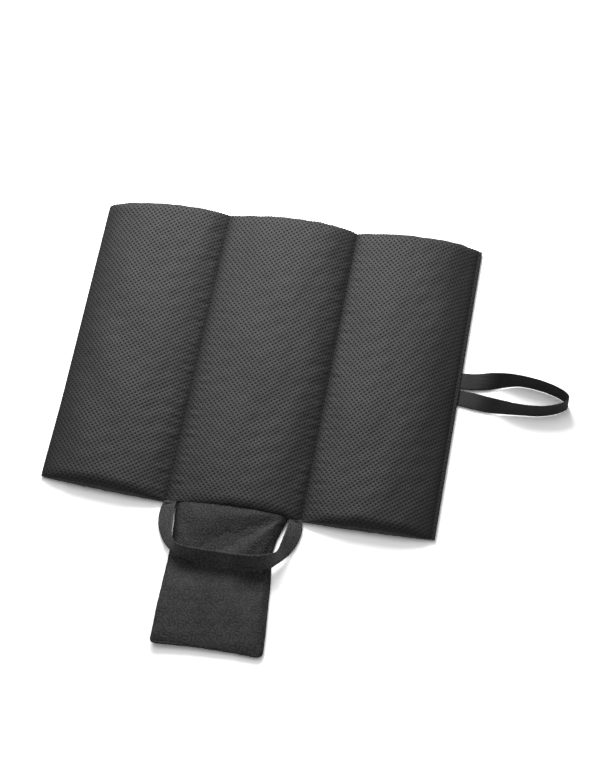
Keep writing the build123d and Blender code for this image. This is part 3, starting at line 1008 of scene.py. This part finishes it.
faces = np.stack([ids[:-1], around[:-1], around[1:], ids[1:]], -1).reshape(-1, 4)[:, ::-1].tolist()
faces += [ids[0].tolist(), ids[-1][::-1].tolist()]
cloth = np.stack([even[:, None] + 0 * turn, turn[None, :] * 1.2 + 0 * even[:, None]], -1).reshape(-1, 2)
rolled = makePiece("pouchSideSeam", points.reshape(-1, 3), faces, cloth, seamCloth)
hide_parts("pouch_side_seam")
for piece in (pouchFront, pouchBack, hem, rolled):
    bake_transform(piece)
print("pouch ready")

# Bartacks: dense zigzags of thread at the loop's roots and at both ends of the carry strap
tack = {"pitch": 0.9, "length": 0.82, "width": 0.7, "rise": 0.3}


def zigzag(start, end, reach, turns, facing):
    start, end, facing = np.array(start, float), np.array(end, float), np.array(facing, float)
    side = np.cross(facing, (end - start) / np.linalg.norm(end - start))
    share = np.linspace(0, 1, 2 * turns + 1)
    line = start + (end - start) * share[:, None] + side * (np.arange(len(share)) % 2 - 0.5)[:, None] * reach
    dense = np.linspace(0, len(share) - 1, 12 * len(share))
    line = np.stack([np.interp(dense, np.arange(len(share)), line[:, k]) for k in range(3)], 1)
    return line, np.tile(facing, (len(line), 1))


loopRows = []
for tackY in (14, -6):
    z = 4.25
    loopRows.append(zigzag((195.2, tackY - 8.5, z), (195.2, tackY + 8.5, z), 1.6, 12, (0, 0, 1)))
loopTack = stitchRun("loopBartack", loopRows, darkThread, tack)
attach(loopTack, "right_panel")
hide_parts("loop_bartack")
for side, (startX, endX) in {"left": (-71, -59), "right": (56, 66.5)}.items():
    rows = [zigzag((startX, -178.6, 4.9), (endX, -178.6, 5.6), 1.3, 9, (0, -0.3, 0.95))]
    piece = stitchRun(f"handleBartack_{side}", rows, darkThread, tack)
    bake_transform(piece)
    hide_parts(f"handle_bartack_{side}")
print("bartacks ready")

# Floor, lights and camera
studio = {
    "target": (0.0393, -0.0224, 0),
    "azimuth": 9.593,
    "elevation": 57.726,
    "distance": 3.0,
    "lens": 135.32,
    "keyEnergy": 10.2,
    "keyTurn": (-0.29, 0.957),
    "keyElevation": 39.4,
    "keyDistance": 0.866,
    "keySize": (0.6, 0.45),
    "fillEnergy": 7,
    "fillPlace": (-0.5, 0.5, 1.9),
    "ambient": 0.33,
    "floorSeen": 1.7,
    "floorBounce": 1.0,
}


def lookAlong(obj, direction):
    obj.rotation_mode = "QUATERNION"
    obj.rotation_quaternion = Vector(direction).to_track_quat("-Z", "Y")


def areaLight(name, location, size, energy):
    light = bpy.data.lights.new(name, "AREA")
    light.shape, light.size, light.size_y, light.energy = "RECTANGLE", size[0], size[1], energy
    obj = bpy.data.objects.new(name, light)
    obj.location = location
    lookAlong(obj, -Vector(location))
    bpy.context.scene.collection.objects.link(obj)


cameraData = bpy.data.cameras.new("camera")
cameraData.sensor_width, cameraData.lens = 36, studio["lens"]
cameraData.clip_start, cameraData.clip_end = 0.05, 60
camera = bpy.data.objects.new("camera", cameraData)
turn, tilt = math.radians(studio["azimuth"]), math.radians(studio["elevation"])
away = Vector((math.sin(turn) * math.cos(tilt), -math.cos(turn) * math.cos(tilt), math.sin(tilt)))
camera.location = Vector(studio["target"]) + away * studio["distance"]
lookAlong(camera, -away)
bpy.context.scene.collection.objects.link(camera)
bpy.context.scene.camera = camera

tilt = math.radians(studio["keyElevation"])
flat = Vector((*studio["keyTurn"], 0)).normalized()
toKey = flat * math.cos(tilt) + Vector((0, 0, math.sin(tilt)))
areaLight("keyLight", toKey * studio["keyDistance"], studio["keySize"], studio["keyEnergy"])
areaLight("overheadFill", studio["fillPlace"], (1.5, 1.5), studio["fillEnergy"])

# The floor is exposed to white for the camera, but throws back less light onto the cloth
floorMaterial = bpy.data.materials.new("paleFloor")
floorMaterial.use_nodes = True
tree = floorMaterial.node_tree
tree.nodes.remove(tree.nodes["Principled BSDF"])
speck = addNode(tree, "ShaderNodeTexNoise", Scale=6.0).outputs[0]
direct = addNode(tree, "ShaderNodeLightPath").outputs["Is Camera Ray"]
tone = mixColour(tree, direct, grey(studio["floorBounce"]), grey(studio["floorSeen"]))
tone = mixColour(tree, maths(tree, "MULTIPLY", speck, 0.04), tone, grey(0.9))
matte = addNode(tree, "ShaderNodeBsdfDiffuse", Color=tone)
tree.links.new(matte.outputs[0], tree.nodes["Material Output"].inputs["Surface"])
steps = np.linspace(-4, 4, 9) * 1000
floorX, floorY = np.meshgrid(steps, steps, indexing="ij")
floorPoints = np.stack([floorX, floorY, 0 * floorX], -1)
floor = shellPiece(
    "floor", floorPoints, floorPoints - np.array([0, 0, 5.0]), floorPoints[..., :2] / 1000, floorMaterial
)

world = bpy.data.worlds.new("studio")
world.use_nodes = True
backdrop = world.node_tree.nodes["Background"]
backdrop.inputs["Color"].default_value = (1, 1, 1, 1)
seen = addNode(world.node_tree, "ShaderNodeLightPath").outputs["Is Camera Ray"]
level = addNode(world.node_tree, "ShaderNodeMapRange", in0=seen, in3=studio["ambient"], in4=1.0).outputs[0]
world.node_tree.links.new(level, backdrop.inputs["Strength"])
bpy.context.scene.world = world
bpy.context.scene.view_settings.view_transform = "Standard"
print("studio ready")
